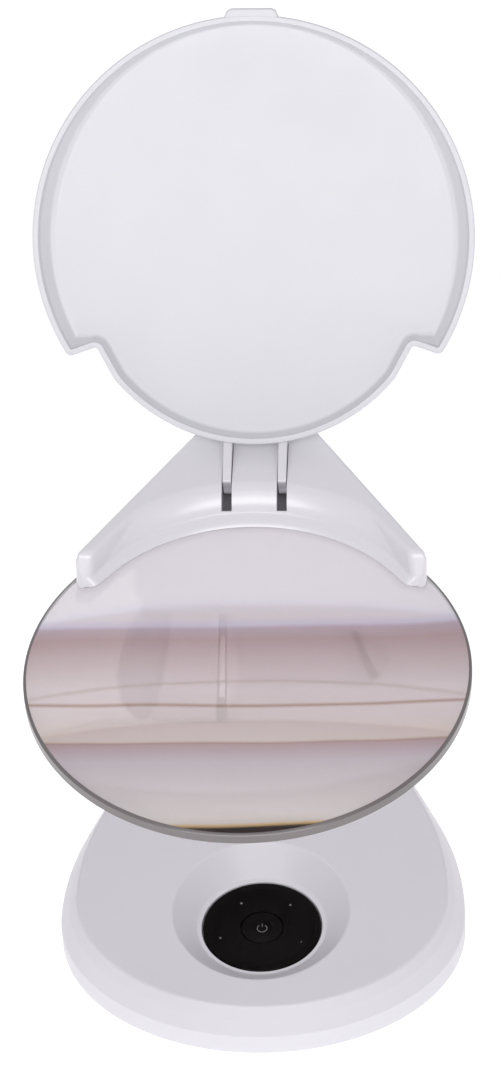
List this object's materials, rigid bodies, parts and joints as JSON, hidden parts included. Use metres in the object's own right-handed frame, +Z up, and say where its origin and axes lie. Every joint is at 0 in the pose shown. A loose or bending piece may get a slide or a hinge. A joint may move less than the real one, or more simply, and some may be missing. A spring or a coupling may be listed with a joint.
{
  "type": "low vision magnifier",
  "caption": "Table-top low vision magnifier: large round lens on a tilting arm over a weighted teardrop base, with lamp, control disc and hinged lens cover.",
  "frame": {"origin": "centre of the outer box, on the table surface under the feet", "axes": "+Z up, +X to the right of a user who faces the lens, +Y away from the user towards the arm"},
  "size_m": [0.13, 0.225, 0.2347],
  "materials": {
    "white_plastic": "white moulded ABS, satin gloss",
    "black_gloss": "black mirror-gloss acrylic",
    "lens_clear": "polished optical acrylic",
    "steel": "zinc-plated steel",
    "ballast_iron": "as cast",
    "rubber": "matte black rubber",
    "circuit_board": "green solder mask",
    "battery_wrap": "heat-shrink film",
    "lead_vinyl": "black vinyl",
    "diffuser": "frosted polycarbonate",
    "led_chip": "phosphor over a white chip",
    "switch_grey": "satin"
  },
  "bodies": {
    "base": {"arm_hinge_pin": "steel", "ballast_plate": "ballast_iron", "base_bottom_cover": "white_plastic", "base_friction_washer_left": "steel", "base_friction_washer_right": "steel", "base_hinge_bracket": "steel", "base_screw_1": "steel", "base_screw_2": "steel", "base_screw_3": "steel", "base_screw_4": "steel", "base_top_shell": "white_plastic", "battery_pack": "battery_wrap", "charge_board": "circuit_board", "charge_socket": "steel", "control_board": "circuit_board", "control_disc": "black_gloss", "hinge_cap_left": "white_plastic", "hinge_cap_right": "white_plastic", "rubber_foot_1": "rubber", "rubber_foot_2": "rubber", "rubber_foot_3": "rubber", "rubber_foot_4": "rubber", "tact_switch": "switch_grey"},
    "button": {"power_button": "black_gloss"},
    "arm": {"arm_front_shell": "white_plastic", "arm_lead": "lead_vinyl", "arm_rear_cover": "white_plastic", "arm_screw_1": "steel", "arm_screw_2": "steel", "arm_stiffener": "steel"},
    "head": {"head_bottom_shell": "white_plastic", "head_friction_washer_left": "steel", "head_friction_washer_right": "steel", "head_hinge_pin": "steel", "head_screw_1": "steel", "head_screw_2": "steel", "head_screw_3": "steel", "head_screw_4": "steel", "head_top_shell": "white_plastic", "led_1": "led_chip", "led_2": "led_chip", "led_3": "led_chip", "led_4": "led_chip", "led_5": "led_chip", "led_6": "led_chip", "led_board": "circuit_board", "led_diffuser": "diffuser", "lens": "lens_clear", "lens_gasket": "rubber", "lid_hinge_pin": "steel"},
    "cover": {"lens_cover": "white_plastic"}
  },
  "joints": [
    {"name": "arm_tilt", "type": "hinge", "parent": "base", "child": "arm", "pos_m": [0, 0.04397, 0.02], "axis": [1, 0, 0], "range_deg": [-20, 15]},
    {"name": "head_tilt", "type": "hinge", "parent": "arm", "child": "head", "pos_m": [0, 0.04397, 0.116], "axis": [1, 0, 0], "range_deg": [-35, 20]},
    {"name": "cover_flip", "type": "hinge", "parent": "head", "child": "cover", "pos_m": [0, 0.02447, 0.125], "axis": [1, 0, 0], "range_deg": [-4, 128]},
    {"name": "power_press", "type": "slide", "parent": "base", "child": "button", "axis": [0, 0, -1], "range_m": [0, 0.0006], "stiffness_N_per_m": 800}
  ]
}
